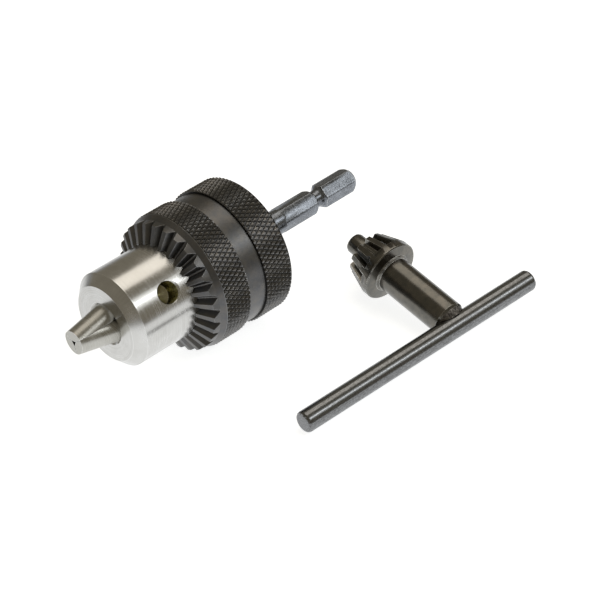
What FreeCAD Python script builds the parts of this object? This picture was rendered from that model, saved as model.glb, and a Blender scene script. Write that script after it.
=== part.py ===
import FreeCAD, Part

# Keyed three-jaw drill chuck on a quarter-inch hex shank, with its chuck key lying beside it.
#
# Row frame, millimetres: the chuck's axis is the Y axis, the free end of the hex shank is the
# origin and the nose points along -Y. +Z is up, and both knurled bands of the sleeve and the
# key rest on the plane z = -sleeve_radius.
#
# Every piece of the chuck is drawn in the chuck frame: local Z runs along the axis from the
# shank's free end towards the nose, so a station is a distance from that end, and local X is
# level. CHUCK_FRAME turns it into the row frame. The key is drawn round its own shank: local
# Z runs along that shank from the axis of the cross bar towards the pilot. CUT_MARGIN is how
# far a cutter runs past the surface that it opens.

import math
import os

import Sketcher
from FreeCAD import Placement, Rotation, Vector

PARTS_FOLDER = "parts"
FULL_TURN = 360.0
CUT_MARGIN = 0.6
CHUCK_FRAME = Placement(Vector(0, 0, 0), Rotation(Vector(1, 0, 0), 90))

# Driving dimensions: name, value, what it is. Lengths in mm, angles in degrees.
DRIVING_DIMENSIONS = [
    ("sleeve_rear", 40.0, "station of the sleeve's rear edge, the shank's free length"),
    ("sleeve_radius", 19.35, "outer radius of both knurled bands"),
    ("sleeve_edge", 0.6, "chamfer of the sleeve's rear edge"),
    ("rear_band_end", 49.16, "front edge of the rear knurled band"),
    ("band_groove_radius", 18.55, "radius of the smooth band between the knurled bands"),
    ("front_band_start", 55.17, "rear edge of the front knurled band"),
    ("front_band_end", 63.24, "front edge of the front knurled band"),
    ("sleeve_rear_bore", 17.25, "bore that runs on the rear of the chuck body"),
    ("sleeve_nut_bore", 16.2, "bore that the split nut is pressed into"),
    ("sleeve_front_bore", 13.42, "bore that runs round the nose"),
    ("gear_teeth", 28.0, "teeth of the bevel ring on the sleeve"),
    ("gear_radius", 18.42, "outer radius of the bevel ring"),
    ("gear_apex", 74.9, "station where the bevel cones and the key's axis meet"),
    ("gear_tip_slope", 0.421, "fall of the tooth tips per mm of radius"),
    ("gear_root_slope", 0.537, "fall of the tooth gaps per mm of radius"),
    ("gear_gap_floor", 0.5, "width of a gap's floor at the outer radius"),
    ("gear_gap_mouth", 2.72, "width of a gap's mouth at the outer radius"),
    ("gear_phase", 29.0, "angle of one tooth gap from the level X axis"),
    ("nose_radius", 13.35, "radius of the chuck's nose"),
    ("nose_front", 88.0, "station of the nose's flat front face"),
    ("nose_chamfer", 2.61, "chamfer round the nose"),
    ("nose_mouth", 6.03, "radius of the mouth in the front face"),
    ("tool_bore", 5.2, "radius of the bore that takes the tool"),
    ("tool_bore_floor", 56.8, "station of the tool bore's floor"),
    ("body_rear", 42.2, "station of the chuck body's rear face"),
    ("body_rear_radius", 17.2, "radius of the body behind the nut"),
    ("body_rear_edge", 0.5, "chamfer of the body's rear edge"),
    ("nut_rear", 57.15, "rear face of the split nut"),
    ("nut_front", 64.2, "front face of the split nut"),
    ("nut_play", 0.15, "gap between the nut's faces and the body's groove"),
    ("nut_neck", 9.9, "radius of the body inside the nut"),
    ("press_gap", 0.02, "gap drawn between the sleeve and the nut pressed into it"),
    ("nut_split", 0.1, "gap between the halves of the nut"),
    ("stud_hole", 4.76, "radius of the threaded hole for the shank adapter"),
    ("stud_hole_end", 54.5, "station where the threaded hole ends"),
    ("screw_hole", 2.75, "radius of the hole for the locking screw"),
    ("pilot_radius", 3.0, "radius of the three key pilot holes"),
    ("pilot_depth", 5.8, "depth of a pilot hole's wall below the nose"),
    ("pilot_rim", 3.45, "radius of the pilot hole's countersink"),
    ("pilot_point", 1.8, "height of the drill point below the wall"),
    ("pilot_angle", 39.0, "angle of the first pilot hole from the level X axis"),
    ("jaw_radius", 3.6, "radius of a jaw"),
    ("jaw_play", 0.05, "radial play of a jaw in its bore"),
    ("jaw_incline", 12.5, "angle between a jaw and the chuck's axis"),
    ("jaw_tip", 98.5, "station of the closed jaws' tips"),
    ("jaw_tip_radius", 3.3, "radius round the closed jaws at their tips"),
    ("jaw_length", 39.0, "length of a jaw along its own axis"),
    ("jaw_land", 0.5, "distance from the axis to a closed jaw's gripping land"),
    ("jaw_seam", 0.04, "half of the seam between two closed jaws"),
    ("thread_pitch", 1.6, "thread pitch along the chuck's axis"),
    ("thread_mouth", 1.19, "width of a thread groove at its mouth"),
    ("thread_floor", 0.71, "width of a thread groove at its floor"),
    ("thread_depth", 0.9, "depth of a thread groove"),
    ("rack_end", 86.0, "station of the last groove of a closed jaw's rack"),
    ("thread_bite", 0.75, "radial overlap of the nut's and the jaws' threads"),
    ("hex_corner", 3.6, "radius of the hex shank's rounded corners"),
    ("hex_flats", 6.35, "distance across the flats"),
    ("hex_end_radius", 2.75, "radius of the shank's free end"),
    ("hex_end_chamfer", 1.2, "length of the free end's chamfer"),
    ("hex_phase", 20.0, "angle of one hex corner from the level X axis"),
    ("notch_start", 11.5, "station where the locking notch starts"),
    ("notch_floor_start", 13.4, "station where the notch is deepest"),
    ("notch_floor_end", 14.1, "station where the notch's front wall starts"),
    ("notch_end", 15.5, "station where the notch ends"),
    ("notch_step", 0.5, "length of the steep foot of the front wall"),
    ("notch_radius", 2.4, "radius at the notch's floor"),
    ("hex_end", 26.6, "station where the hex runs into the round neck"),
    ("neck_radius", 3.5, "radius of the round neck"),
    ("neck_end", 31.0, "station where the neck starts to widen"),
    ("neck_root_radius", 4.6, "radius of the neck at the collar"),
    ("collar_rear", 41.0, "station of the adapter's collar"),
    ("collar_radius", 7.0, "radius of the adapter's collar"),
    ("small_edge", 0.4, "chamfer of the collar and of the screw"),
    ("stud_radius", 4.72, "radius of the adapter's threaded stud"),
    ("stud_end", 54.0, "station of the stud's end"),
    ("stud_edge", 0.8, "chamfer of the stud's end"),
    ("screw_radius", 2.42, "radius of the locking screw"),
    ("screw_bore", 2.5, "radius of the stud's hole for the screw"),
    ("screw_end", 44.6, "station of the screw's end"),
    ("screw_play", 1.0, "gap ahead of the floor of the stud's hole"),
    ("screw_head", 4.1, "radius of the screw's head"),
    ("screw_head_height", 2.4, "height of the screw's head"),
    ("screw_slot", 1.2, "width of the slot in the screw's head"),
    ("screw_slot_depth", 1.1, "depth of the slot"),
    ("bar_radius", 3.0, "radius of the key's cross bar"),
    ("bar_short", 27.5, "length of the bar on the short side of the shank"),
    ("bar_long", 54.0, "length of the bar on the long side"),
    ("bar_edge", 0.6, "chamfer of the bar's ends"),
    ("key_x", 52.8, "row X of the point where the bar crosses the shank's axis"),
    ("key_y", -13.65, "row Y of that point"),
    ("key_turn", 2.53, "turn of the bar away from the row's Y axis"),
    ("shank_start", 2.5, "distance from the bar's axis to the shank's end"),
    ("shank_radius", 5.0, "radius of the key's shank"),
    ("shank_edge", 0.5, "chamfer of the shank's end"),
    ("saddle_play", 0.02, "gap between the bar and its saddle in the shank"),
    ("flange_start", 24.6, "distance to the flange's rear face"),
    ("flange_foot", 5.5, "radius of the step at the foot of the flange"),
    ("foot_rise", 0.3, "length of the slopes at the foot of the flange"),
    ("flange_dish", 0.75, "how far the rim stands ahead of the foot"),
    ("rim_radius", 8.72, "radius of the flange's rim"),
    ("rim_edge", 0.25, "chamfer of the rim's rear edge"),
    ("pinion_heel", 27.7, "distance to the pinion's large end"),
    ("heel_web", 0.02, "thin web between the flange's face and the pinion's gaps"),
    ("pinion_toe", 34.4, "distance to the pinion's small end"),
    ("pinion_toe_radius", 6.5, "tip radius of the pinion's small end"),
    ("pinion_teeth", 12.0, "teeth of the pinion"),
    ("pinion_heel_root", 6.7, "root radius of the pinion's large end"),
    ("pinion_toe_root", 4.85, "root radius of the pinion's small end"),
    ("pinion_gap_floor", 1.0, "width of a pinion gap's floor at the large end"),
    ("pinion_gap_mouth", 2.9, "width of a pinion gap's mouth at the large end"),
    ("pinion_phase", 8.0, "angle of one pinion gap round the key's shank"),
    ("pin_radius", 2.9, "radius of the key's pilot pin"),
    ("pin_end", 40.2, "distance to the pilot pin's end"),
    ("pin_round", 1.0, "rounding of the pilot pin's end"),
    ("weld_radius", 4.5, "radius of the weld on the shank's end"),
    ("weld_top_radius", 3.35, "radius of the weld beside the bar"),
    ("weld_top", 0.7, "distance from the bar's axis to the weld's top"),
]


class Size:
    """A size with its number and the spreadsheet expression that gives that number."""

    def __init__(self, number, text):
        self.number = float(number)
        self.text = text

    def __add__(self, other):
        other = as_size(other)
        return Size(self.number + other.number, f"({self.text} + {other.text})")

    def __sub__(self, other):
        other = as_size(other)
        return Size(self.number - other.number, f"({self.text} - {other.text})")

    def __mul__(self, other):
        other = as_size(other)
        return Size(self.number * other.number, f"({self.text} * {other.text})")

    def __truediv__(self, other):
        other = as_size(other)
        return Size(self.number / other.number, f"({self.text} / {other.text})")

    def __neg__(self):
        return Size(-self.number, f"(0 - {self.text})")


def as_size(value):
    if isinstance(value, Size):
        return value
    return Size(value, f"({float(value)!r})")


def cosine(angle):
    return Size(math.cos(math.radians(angle.number)), f"cos({angle.text})")


def sine(angle):
    return Size(math.sin(math.radians(angle.number)), f"sin({angle.text})")


def tangent(angle):
    return Size(math.tan(math.radians(angle.number)), f"tan({angle.text})")


class Sizes:
    """The driving dimensions by name, read from the document's spreadsheet."""

    def __init__(self, document):
        sheet = document.addObject("Spreadsheet::Sheet", "Sizes")
        for row, (name, value, meaning) in enumerate(DRIVING_DIMENSIONS, start=1):
            sheet.set(f"A{row}", meaning)
            sheet.set(f"B{row}", str(value))
            sheet.setAlias(f"B{row}", name)
        document.recompute()
        for name, _, _ in DRIVING_DIMENSIONS:
            setattr(self, name, Size(sheet.get(name), f"Sizes.{name}"))


document = FreeCAD.newDocument("drill_chuck")
size = Sizes(document)
ZERO = as_size(0)


# ---------------------------------------------------------------- shared helpers

def bind(item, **properties):
    """Bind each property of a document object to its size's expression."""
    for name, value in properties.items():
        item.setExpression(name.replace("__", "."), as_size(value).text)


def origin_plane(body, role):
    for feature in body.Origin.OriginFeatures:
        if feature.Role == role:
            return feature
    raise ValueError(f"no origin feature {role}")


def draw_outline(sketch, points):
    """Draw a closed outline of straight lines with every corner placed by the sheet."""
    count = len(points)
    corners = [Vector(x.number, y.number, 0) for x, y in points]
    for index in range(count):
        line = Part.LineSegment(corners[index], corners[(index + 1) % count])
        sketch.addGeometry(line, False)
    for index in range(count):
        following = (index + 1) % count
        sketch.addConstraint(Sketcher.Constraint("Coincident", index, 2, following, 1))
    for index, (x, y) in enumerate(points):
        place_corner(sketch, index, "DistanceX", -2, x)
        place_corner(sketch, index, "DistanceY", -1, y)


def place_corner(sketch, index, kind, axis, distance):
    """Hold one coordinate of a corner: on the axis, or at a signed distance from the origin."""
    if distance.number == 0:
        sketch.addConstraint(Sketcher.Constraint("PointOnObject", index, 1, axis))
        return
    if distance.number > 0:
        ends = (-1, 1, index, 1)
    else:
        ends = (index, 1, -1, 1)
        distance = -distance
    constraint = Sketcher.Constraint(kind, *ends, distance.number)
    number = sketch.addConstraint(constraint)
    sketch.setExpression(f"Constraints[{number}]", distance.text)


def body_sketch(body, name, role, points, offset=None):
    """A sketch on one of the body's own origin planes, moved along the plane's normal."""
    sketch = body.newObject("Sketcher::SketchObject", name)
    sketch.AttachmentSupport = (origin_plane(body, role), [""])
    sketch.MapMode = "FlatFace"
    if offset is not None:
        sketch.setExpression("AttachmentOffset.Base.z", offset.text)
    draw_outline(sketch, points)
    return sketch


def free_sketch(name, points, upright=True):
    """A sketch outside any body: upright holds radius and station, otherwise it lies level."""
    sketch = document.addObject("Sketcher::SketchObject", name)
    if upright:
        sketch.Placement = Placement(Vector(0, 0, 0), Rotation(Vector(1, 0, 0), 90))
    draw_outline(sketch, points)
    return sketch


def revolve_body(label, points):
    """A body whose first feature is an outline of radius and station turned round Z."""
    body = document.addObject("PartDesign::Body", label)
    body.Label = label
    sketch = body_sketch(body, f"{label}_outline", "XZ_Plane", points)
    feature = body.newObject("PartDesign::Revolution", f"{label}_turned")
    feature.Profile = sketch
    feature.ReferenceAxis = (sketch, ["V_Axis"])
    feature.Angle = 360
    document.recompute()
    return body


def groove_round(body, name, points):
    """Cut an outline of radius and station out of the body all the way round Z."""
    before = body.Shape.Volume
    sketch = body_sketch(body, f"{name}_outline", "XZ_Plane", points)
    feature = body.newObject("PartDesign::Groove", name)
    feature.Profile = sketch
    feature.ReferenceAxis = (sketch, ["V_Axis"])
    feature.Angle = 360
    document.recompute()
    require_less(name, body, before)


def repeat_round(body, name, feature, count):
    """Repeat a feature round the body's Z axis."""
    before = body.Shape.Volume
    pattern = body.newObject("PartDesign::PolarPattern", name)
    pattern.Originals = [feature]
    pattern.Axis = (origin_plane(body, "Z_Axis"), [""])
    pattern.Angle = 360
    bind(pattern, Occurrences=count)
    body.Tip = pattern
    document.recompute()
    require_less(name, body, before)


def cut_tapered_gap(body, name, role, sections):
    """Cut the gap between two teeth: a loft through outlines on parallel planes."""
    before = body.Shape.Volume
    sketches = []
    for index, (offset, points) in enumerate(sections):
        sketch = body_sketch(body, f"{name}_section_{index}", role, points, offset)
        sketches.append(sketch)
    feature = body.newObject("PartDesign::SubtractiveLoft", name)
    feature.Profile = sketches[0]
    feature.Sections = sketches[1:]
    feature.Ruled = True
    document.recompute()
    require_less(name, body, before)
    return feature


def cut_cylinder(body, name, radius, height, placement):
    """Drill the body with a round cutter that starts at the placement and runs along its Z."""
    before = body.Shape.Volume
    feature = body.newObject("PartDesign::SubtractiveCylinder", name)
    bind(feature, Radius=radius, Height=height)
    feature.Placement = placement
    document.recompute()
    require_less(name, body, before)
    return feature


def cut_cone(body, name, start_radius, end_radius, height, placement):
    """Cut a cone that starts at the placement and runs along its Z."""
    before = body.Shape.Volume
    feature = body.newObject("PartDesign::SubtractiveCone", name)
    bind(feature, Radius1=start_radius, Radius2=end_radius, Height=height)
    feature.Placement = placement
    document.recompute()
    require_less(name, body, before)
    return feature


def require_less(name, body, before):
    if body.Shape.Volume > before - 1e-6:
        raise RuntimeError(f"{name} cut nothing")


# ---------------------------------------------------------------- jaw line

def jaw_outline_radius(station):
    """Radius, in a jaw's middle plane, of the closed jaw's outer line at a station."""
    return size.jaw_tip_radius + (size.jaw_tip - station) * tangent(size.jaw_incline)


def jaw_axis_radius(station):
    """Radius of a jaw's axis at a station; it falls below zero past the chuck's axis."""
    return jaw_outline_radius(station) - size.jaw_radius / cosine(size.jaw_incline)


def jaw_angle(index):
    """Angle of a jaw's middle plane from the level X axis; a pilot hole lies midway between."""
    return size.pilot_angle.number + 60.0 + 120.0 * index


def jaw_axis_placement(station):
    """A placement on the jaw's axis with Z pointing along the jaw towards the nose."""
    foot = Vector(jaw_axis_radius(station).number, 0, station.number)
    return Placement(foot, Rotation(Vector(0, 1, 0), -size.jaw_incline.number))


# ---------------------------------------------------------------- chuck body

def make_chuck_body():
    """Nose, nut groove and rear hub in one piece, drilled for the jaws and the key."""
    rear_wall = size.nut_rear - size.nut_play
    front_wall = size.nut_front + size.nut_play
    body = revolve_body("chuck_body", [
        (size.stud_hole, size.body_rear),
        (size.body_rear_radius - size.body_rear_edge, size.body_rear),
        (size.body_rear_radius, size.body_rear + size.body_rear_edge),
        (size.body_rear_radius, rear_wall),
        (size.nut_neck, rear_wall),
        (size.nut_neck, front_wall),
        (size.nose_radius, front_wall),
        (size.nose_radius, size.nose_front - size.nose_chamfer),
        (size.nose_radius - size.nose_chamfer, size.nose_front),
        (size.nose_mouth, size.nose_front),
        (size.tool_bore, size.nose_front - (size.nose_mouth - size.tool_bore)),
        (size.tool_bore, size.tool_bore_floor),
        (size.screw_hole, size.tool_bore_floor),
        (size.screw_hole, size.stud_hole_end),
        (size.stud_hole, size.stud_hole_end),
    ])
    bore_start = size.body_rear - CUT_MARGIN * 5
    bore_length = (size.jaw_tip - bore_start) / cosine(size.jaw_incline)
    bore = cut_cylinder(body, "jaw_bore", size.jaw_radius + size.jaw_play, bore_length,
                        jaw_axis_placement(bore_start))
    repeat_round(body, "jaw_bores", bore, 3)
    drill_pilot_holes(body)
    turn = Rotation(Vector(0, 0, 1), jaw_angle(0))
    body.Placement = CHUCK_FRAME.multiply(Placement(Vector(), turn))
    return body


def drill_pilot_holes(body):
    """Three blind holes with a drill point and a countersunk rim, midway between the jaws."""
    halfway = Rotation(Vector(0, 0, 1), 60)
    inwards = Rotation(Vector(0, 1, 0), -90)
    outside = size.nose_radius + CUT_MARGIN
    floor = size.nose_radius - size.pilot_depth
    rim_depth = size.pilot_rim - size.pilot_radius
    point_end = 0.01
    point_overlap = 0.001

    def on_hole(radius):
        foot = halfway.multVec(Vector(radius.number, 0, size.gear_apex.number))
        return Placement(foot, halfway.multiply(inwards))

    wall = cut_cylinder(body, "pilot_hole", size.pilot_radius, outside - floor, on_hole(outside))
    repeat_round(body, "pilot_holes", wall, 3)
    point = cut_cone(body, "pilot_drill_point", size.pilot_radius, point_end, size.pilot_point,
                     on_hole(floor + point_overlap))
    repeat_round(body, "pilot_drill_points", point, 3)
    rim = cut_cone(body, "pilot_rim", size.pilot_rim + CUT_MARGIN, size.pilot_radius,
                   rim_depth + CUT_MARGIN, on_hole(outside))
    repeat_round(body, "pilot_rims", rim, 3)


# ---------------------------------------------------------------- sleeve with its bevel ring

def gear_section(radius):
    """A tooth gap of the bevel ring, seen along the radius: it shrinks towards the apex."""
    scale = radius / size.gear_radius
    height = (size.gear_root_slope - size.gear_tip_slope) * size.gear_radius
    widening = (size.gear_gap_mouth - size.gear_gap_floor) / height * CUT_MARGIN
    floor_half = size.gear_gap_floor / 2 * scale
    mouth_half = (size.gear_gap_mouth + widening) / 2 * scale
    floor_station = size.gear_apex - size.gear_root_slope * radius
    mouth_station = size.gear_apex - size.gear_tip_slope * radius + scale * CUT_MARGIN
    return [
        (-floor_half, floor_station),
        (floor_half, floor_station),
        (mouth_half, mouth_station),
        (-mouth_half, mouth_station),
    ]


def make_sleeve():
    """Knurled sleeve with the bevel ring gear cut in its front face."""
    ring_tip = size.gear_apex - size.gear_tip_slope * size.gear_radius
    bore_tip = size.gear_apex - size.gear_tip_slope * size.sleeve_front_bore
    shoulder = size.gear_apex - size.gear_root_slope * size.gear_radius
    nut_seat = size.nut_front + size.press_gap
    body = revolve_body("sleeve", [
        (size.sleeve_rear_bore, size.sleeve_rear),
        (size.sleeve_radius - size.sleeve_edge, size.sleeve_rear),
        (size.sleeve_radius, size.sleeve_rear + size.sleeve_edge),
        (size.sleeve_radius, size.rear_band_end),
        (size.band_groove_radius, size.rear_band_end),
        (size.band_groove_radius, size.front_band_start),
        (size.sleeve_radius, size.front_band_start),
        (size.sleeve_radius, size.front_band_end),
        (size.gear_radius, shoulder),
        (size.gear_radius, ring_tip),
        (size.sleeve_front_bore, bore_tip),
        (size.sleeve_front_bore, nut_seat),
        (size.sleeve_nut_bore, nut_seat),
        (size.sleeve_nut_bore, size.nut_rear - size.nut_play),
        (size.sleeve_rear_bore, size.nut_rear - size.nut_play),
    ])
    inner = size.sleeve_front_bore - CUT_MARGIN
    outer = size.gear_radius + CUT_MARGIN
    gap = cut_tapered_gap(body, "tooth_gap", "YZ_Plane",
                          [(inner, gear_section(inner)), (outer, gear_section(outer))])
    repeat_round(body, "tooth_gaps", gap, size.gear_teeth)
    turn = Rotation(Vector(0, 0, 1), size.gear_phase.number)
    body.Placement = CHUCK_FRAME.multiply(Placement(Vector(), turn))
    return body


# ---------------------------------------------------------------- split nut

def thread_reference():
    """Station of a nut groove's middle at angle 0; turning by a pitch's share moves it on."""
    return size.nut_front + size.thread_pitch


def groove_halves(lip):
    """Half widths of a thread groove, a lip's height above its mouth and at its floor."""
    flare = (size.thread_mouth - size.thread_floor) / size.thread_depth * lip / 2
    return size.thread_mouth / 2 + flare, size.thread_floor / 2


def make_nut_thread():
    """Cutter for the nut's thread: a groove swept along a right-handed conical helix.

    The helix starts ahead of the nut, at its small end, and widens towards the rear. It has
    one edge per turn, because a cutter with longer faces misses some of the turns.
    """
    start = thread_reference()
    crest = jaw_outline_radius(start) - size.thread_bite
    helix = document.addObject("Part::Helix", "nut_thread_line")
    bind(helix, Pitch=size.thread_pitch, Radius=crest, Angle=size.jaw_incline,
         Height=start - size.nut_rear + size.thread_pitch)
    helix.SegmentLength = 1
    helix.Placement = Placement(Vector(0, 0, start.number), Rotation(Vector(1, 0, 0), 180))
    document.recompute()
    lip = as_size(0.25)
    mouth_half, floor_half = groove_halves(lip)
    section = free_sketch("nut_thread_section", [
        (crest - lip, start - mouth_half),
        (crest + size.thread_depth, start - floor_half),
        (crest + size.thread_depth, start + floor_half),
        (crest - lip, start + mouth_half),
    ])
    groove = document.addObject("Part::Sweep", "nut_thread_groove")
    groove.Sections = [section]
    groove.Spine = (helix, [f"Edge{index + 1}" for index in range(len(helix.Shape.Edges))])
    groove.Solid = True
    groove.Frenet = True
    document.recompute()
    return groove


def make_nut_half(label, thread, turn):
    """Half of the ring nut: a turned half ring with the thread cut in its conical bore."""
    crest_rear = jaw_outline_radius(size.nut_rear) - size.thread_bite
    crest_front = jaw_outline_radius(size.nut_front) - size.thread_bite
    outside = size.sleeve_nut_bore - size.press_gap
    outline = free_sketch(f"{label}_outline", [
        (crest_rear, size.nut_rear),
        (outside, size.nut_rear),
        (outside, size.nut_front),
        (crest_front, size.nut_front),
    ])
    ring = document.addObject("Part::Revolution", f"{label}_ring")
    ring.Source = outline
    ring.Axis = Vector(0, 0, 1)
    ring.Base = Vector(0, 0, 0)
    ring.Angle = 180
    ring.Solid = True
    ring.Placement = Placement(Vector(), Rotation(Vector(0, 0, 1), turn))
    gap = document.addObject("Part::Box", f"{label}_split")
    reach = size.sleeve_radius * 2
    bind(gap, Length=reach, Width=size.nut_split, Height=size.nut_front)
    gap.Placement = Placement(Vector(-reach.number / 2, -size.nut_split.number / 2, 0), Rotation())
    apart = document.addObject("Part::Cut", f"{label}_apart")
    apart.Base = ring
    apart.Tool = gap
    half = document.addObject("Part::Cut", label)
    half.Label = label
    half.Base = apart
    half.Tool = thread
    half.Placement = CHUCK_FRAME
    document.recompute()
    return half


# ---------------------------------------------------------------- jaws

def make_jaw(label, angle):
    """One jaw, drawn with its middle plane on X: a rod trimmed to its third and rack-cut."""
    rod = document.addObject("Part::Cylinder", f"{label}_rod")
    rear = size.jaw_tip - size.jaw_length * cosine(size.jaw_incline)
    bind(rod, Radius=size.jaw_radius, Height=size.jaw_length + size.jaw_radius)
    rod.Placement = jaw_axis_placement(rear)

    third = make_jaw_third(label)
    trimmed = document.addObject("Part::Common", f"{label}_trimmed")
    trimmed.Base = rod
    trimmed.Tool = third

    rack = make_jaw_rack(label, rear, angle)
    jaw = document.addObject("Part::Cut", label)
    jaw.Label = label
    jaw.Base = trimmed
    jaw.Tool = rack
    turn = Placement(Vector(), Rotation(Vector(0, 0, 1), angle))
    jaw.Placement = CHUCK_FRAME.multiply(turn)
    document.recompute()
    return jaw


def make_jaw_third(label):
    """The third of the space round the axis that belongs to one jaw, up to the tips' face."""
    reach = size.nose_radius
    spread = as_size(60)
    seam = size.jaw_seam / cosine(spread)
    half_land = size.jaw_land * tangent(spread) - seam
    half_reach = reach * tangent(spread) - seam
    outline = free_sketch(f"{label}_third_outline", [
        (size.jaw_land, -half_land),
        (reach, -half_reach),
        (reach, half_reach),
        (size.jaw_land, half_land),
    ], upright=False)
    third = document.addObject("Part::Extrusion", f"{label}_third")
    third.Base = outline
    third.DirMode = "Custom"
    third.Dir = Vector(0, 0, 1)
    third.Solid = True
    bind(third, LengthFwd=size.jaw_tip)
    return third


def make_jaw_rack(label, rear, angle):
    """Grooves across the jaw's outer side, a thread pitch apart and in step with the nut.

    Each groove is part of a ring round the chuck's axis, drawn where it meets the middle of
    the nut and then moved along the jaw, as the jaw moves it.
    """
    pitch = size.thread_pitch.number
    in_step = thread_reference().number + (angle / FULL_TURN + 0.5) * pitch
    middle = (size.nut_rear.number + size.nut_front.number) / 2
    drawn_at = as_size(in_step + round((middle - in_step) / pitch) * pitch)
    first = math.ceil((rear.number - drawn_at.number) / pitch)
    last = math.floor((size.rack_end.number - drawn_at.number) / pitch)

    lip = as_size(0.4)
    mouth_half, floor_half = groove_halves(lip)
    outer = jaw_outline_radius(drawn_at)
    outline = free_sketch(f"{label}_groove_outline", [
        (outer - size.thread_depth, drawn_at - floor_half),
        (outer + lip, drawn_at - mouth_half),
        (outer + lip, drawn_at + mouth_half),
        (outer - size.thread_depth, drawn_at + floor_half),
    ])
    grooves = []
    for index in range(first, last + 1):
        groove = document.addObject("Part::Revolution", f"{label}_groove")
        groove.Source = outline
        groove.Axis = Vector(0, 0, 1)
        groove.Base = Vector(0, 0, 0)
        groove.Angle = 60
        groove.Symmetric = True
        groove.Solid = True
        along = index * pitch
        inwards = -along * tangent(size.jaw_incline).number
        groove.Placement = Placement(Vector(inwards, 0, along), Rotation())
        grooves.append(groove)
    rack = document.addObject("Part::Compound", f"{label}_rack")
    rack.Links = grooves
    return rack


# ---------------------------------------------------------------- hex shank adapter and screw

def make_shank_adapter():
    """Hex shank with a locking notch, a round neck, a collar and the stud for the chuck."""
    body = document.addObject("PartDesign::Body", "hex_shank_adapter")
    body.Label = "hex_shank_adapter"
    half_flat = size.hex_flats / 2
    corner = size.hex_flats / 2 / cosine(as_size(30))
    hexagon = [
        (corner, ZERO),
        (corner / 2, half_flat),
        (-corner / 2, half_flat),
        (-corner, ZERO),
        (-corner / 2, -half_flat),
        (corner / 2, -half_flat),
    ]
    outline = body_sketch(body, "hexagon", "XY_Plane", hexagon)
    bar = body.newObject("PartDesign::Pad", "hex_bar")
    bar.Profile = outline
    bind(bar, Length=size.hex_end + CUT_MARGIN)
    document.recompute()
    clear = size.hex_corner + CUT_MARGIN
    beyond = size.hex_end + CUT_MARGIN * 2
    groove_round(body, "rounded_corners", [
        (size.hex_corner, as_size(-CUT_MARGIN)),
        (clear, as_size(-CUT_MARGIN)),
        (clear, beyond),
        (size.hex_corner, beyond),
    ])
    groove_round(body, "free_end_chamfer", [
        (size.hex_end_radius, ZERO),
        (clear, ZERO),
        (clear, size.hex_end_chamfer + CUT_MARGIN),
        (size.hex_corner, size.hex_end_chamfer),
    ])
    groove_round(body, "locking_notch", notch_outline(clear))
    add_neck_and_stud(body)
    turn = Rotation(Vector(0, 0, 1), size.hex_phase.number)
    body.Placement = CHUCK_FRAME.multiply(Placement(Vector(), turn))
    return body


def notch_outline(clear):
    """The locking notch: a long curved rear wall, a short floor and a steep front wall."""
    steps = 6
    fall = size.hex_corner - size.notch_radius
    run = size.notch_floor_start - size.notch_start
    step_height = fall * 0.45
    points = [(clear, size.notch_start - run / steps)]
    for index in range(1, steps + 1):
        sweep = as_size(90.0 * index / steps)
        radius = size.hex_corner - fall * sine(sweep)
        points.append((radius, size.notch_start + run * (as_size(1) - cosine(sweep))))
    points.append((size.notch_radius, size.notch_floor_end))
    points.append((size.notch_radius + step_height, size.notch_floor_end + size.notch_step))
    points.append((size.hex_corner, size.notch_end))
    points.append((clear, size.notch_end + CUT_MARGIN))
    return points


def add_neck_and_stud(body):
    """Add the turned half of the adapter, with the screw's hole in the stud's end."""
    inside_hex = size.hex_end - CUT_MARGIN
    screw_floor = size.screw_end - size.screw_play
    sketch = body_sketch(body, "turned_outline", "XZ_Plane", [
        (ZERO, inside_hex),
        (size.hex_flats / 2, inside_hex),
        (size.neck_radius, size.hex_end + CUT_MARGIN),
        (size.neck_radius, size.neck_end),
        (size.neck_root_radius, size.collar_rear),
        (size.collar_radius - size.small_edge, size.collar_rear),
        (size.collar_radius, size.collar_rear + size.small_edge),
        (size.collar_radius, size.body_rear),
        (size.stud_radius, size.body_rear),
        (size.stud_radius, size.stud_end - size.stud_edge),
        (size.stud_radius - size.stud_edge, size.stud_end),
        (size.screw_bore, size.stud_end),
        (size.screw_bore, screw_floor),
        (ZERO, screw_floor - size.screw_bore / 2),
    ])
    feature = body.newObject("PartDesign::Revolution", "neck_and_stud")
    feature.Profile = sketch
    feature.ReferenceAxis = (sketch, ["V_Axis"])
    feature.Angle = 360
    document.recompute()


def make_locking_screw():
    """Slotted screw on the floor of the tool bore that locks the adapter's stud."""
    seat = size.tool_bore_floor
    top = seat + size.screw_head_height
    body = revolve_body("locking_screw", [
        (ZERO, size.screw_end),
        (size.screw_radius - size.small_edge, size.screw_end),
        (size.screw_radius, size.screw_end + size.small_edge),
        (size.screw_radius, seat),
        (size.screw_head, seat),
        (size.screw_head, top - size.small_edge),
        (size.screw_head - size.small_edge, top),
        (ZERO, top),
    ])
    before = body.Shape.Volume
    half = size.screw_slot / 2
    reach = size.screw_head + CUT_MARGIN
    sketch = body_sketch(body, "slot_outline", "XY_Plane", [
        (-reach, -half), (reach, -half), (reach, half), (-reach, half),
    ], top)
    slot = body.newObject("PartDesign::Pocket", "screw_slot")
    slot.Profile = sketch
    bind(slot, Length=size.screw_slot_depth)
    document.recompute()
    require_less("screw_slot", body, before)
    body.Placement = CHUCK_FRAME
    return body


# ---------------------------------------------------------------- key

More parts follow.
